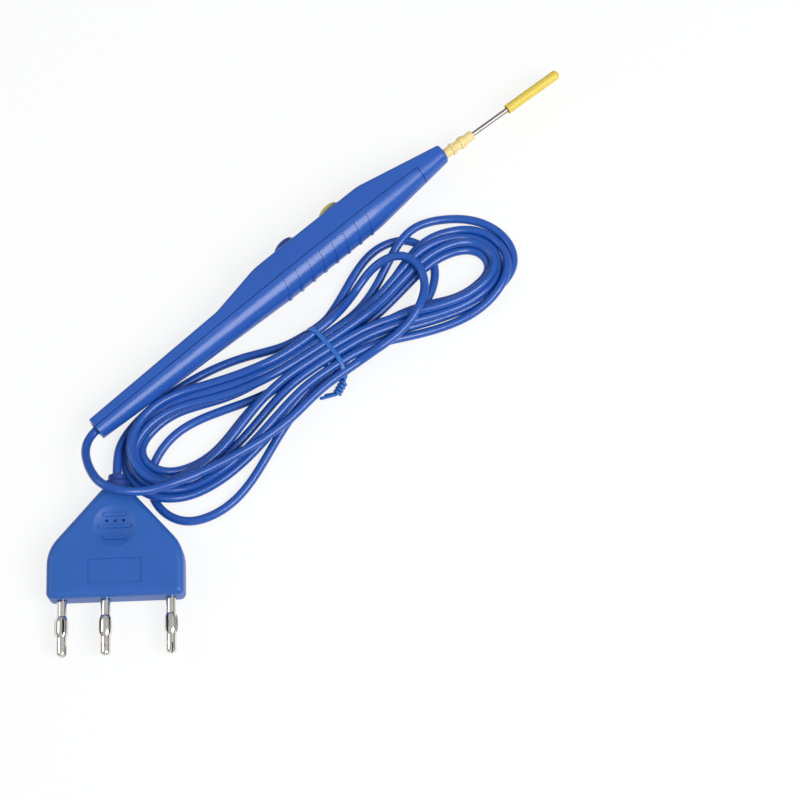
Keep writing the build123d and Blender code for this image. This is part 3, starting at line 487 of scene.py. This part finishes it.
for title, (names, dark, light, metallic, rough) in INNER.items():
    # Plain factory finishes: an even colour and gloss with a slight mottle, seen when the shells are off.
    inner, shader, place = new_material(title, Metallic=metallic)
    mottle = add(inner, "ShaderNodeTexNoise", {"Vector": place, "Scale": 1 / (1.5 * MM), "Detail": 3.0})
    tint = add(inner, "ShaderNodeMix", {"Factor": (mottle, "Fac"), "A_Color": linear(dark),
                                        "B_Color": linear(light)}, data_type="RGBA")
    gloss = add(inner, "ShaderNodeMapRange", {"Value": (mottle, "Fac"), "To Min": rough - ROUGH_SPREAD,
                                              "To Max": rough + ROUGH_SPREAD})
    wire_up(inner, shader, Base_Color=(tint, "Result_Color"), Roughness=(gloss, "Result"))
    dress(inner, *names)

# Table and light
# A plain white table in a pale room, with a large soft box in front of the pencil and two weak ones that
# fill in. Sizes in metres, power in watts.
TABLE_REACH = 30.0             # from its middle to each side, so that low views show no edge
table_mesh = bpy.data.meshes.new("table_top")
corners = np.array([(-1, -1, 0), (1, -1, 0), (1, 1, 0), (-1, 1, 0)]) * TABLE_REACH
table_mesh.from_pydata(corners, [], [(0, 1, 2, 3)])
table = bpy.data.objects.new("table_top", table_mesh)
scene.collection.objects.link(table)

# White laminate: what the camera and shiny pieces see is white, darkened a little by the object's shadow.
WHITE_SHARE = 0.8              # share of the white that shadows can't darken
white_table, shader, place = new_material("white_laminate", Roughness=0.9, Specular_IOR_Level=0.0)
smudge = add(white_table, "ShaderNodeTexNoise", {"Vector": place, "Scale": 1 / (300 * MM), "Detail": 2.0})
tint = add(white_table, "ShaderNodeMix", {"Factor": (smudge, "Fac"), "A_Color": linear("#F6F6F6"),
                                          "B_Color": linear("#FAFAFA")}, data_type="RGBA")
wire_up(white_table, shader, Base_Color=(tint, "Result_Color"))
ray = add(white_table, "ShaderNodeLightPath", {})
seen = add(white_table, "ShaderNodeMath", {0: (ray, "Is Camera Ray"), 1: (ray, "Is Glossy Ray")},
           operation="MAXIMUM")
seen = add(white_table, "ShaderNodeMath", {0: (seen, "Value"), 1: (ray, "Is Transmission Ray")},
           operation="MAXIMUM")
share = add(white_table, "ShaderNodeMath", {0: (seen, "Value"), 1: WHITE_SHARE}, operation="MULTIPLY")
glow = add(white_table, "ShaderNodeEmission", {"Color": (1.0, 1.0, 1.0, 1.0), "Strength": 1.0})
both = add(white_table, "ShaderNodeMixShader", {0: (share, "Value"), 1: (shader, "BSDF"),
                                                2: (glow, "Emission")})
table_output = white_table.node_tree.nodes["Material Output"]
white_table.node_tree.links.new(both.outputs[0], table_output.inputs["Surface"])
table_mesh.materials.append(white_table)

# Each soft box has its place, the length of its sides and its power.
LIGHT_TARGET = Vector((-0.02, -0.03, 0.0))
SOFT_BOXES = {
    "soft_box_front": ((0.20, -0.70, 0.82), 0.68, 8.8),
    "soft_box_near": ((-0.80, -0.85, 0.50), 0.60, 0.8),
    "soft_box_back": ((-0.70, 0.60, 0.80), 0.60, 2.0)}
for name, (place, size, power) in SOFT_BOXES.items():
    lamp = bpy.data.lights.new(name, "AREA")
    lamp.shape = "SQUARE"
    lamp.size = size
    lamp.energy = power
    box = bpy.data.objects.new(name, lamp)
    box.location = place
    box.rotation_euler = (LIGHT_TARGET - Vector(place)).to_track_quat("-Z", "Y").to_euler()
    scene.collection.objects.link(box)

# The room is pale overhead and dim towards the horizon, which puts a dark line along round and shiny
# pieces.
ROOM_TOP, ROOM_HORIZON = 0.52, 0.04
ROOM_PALE_FROM = 0.6           # height, as a share of straight up, above which the room is at its palest
room = bpy.data.worlds.new("pale_room")
scene.world = room
room.use_nodes = True
way = add(room, "ShaderNodeTexCoord", {})
parts = add(room, "ShaderNodeSeparateXYZ", {"Vector": (way, "Generated")})
level = add(room, "ShaderNodeMapRange", {"Value": (parts, "Z"), "From Min": 0.0,
                                         "From Max": ROOM_PALE_FROM, "To Min": ROOM_HORIZON,
                                         "To Max": ROOM_TOP},
            interpolation_type="SMOOTHSTEP")
backdrop = room.node_tree.nodes["Background"]
backdrop.inputs["Color"].default_value = linear("#F6F7FA")
room.node_tree.links.new(level.outputs["Result"], backdrop.inputs["Strength"])
scene.view_settings.view_transform = "Standard"
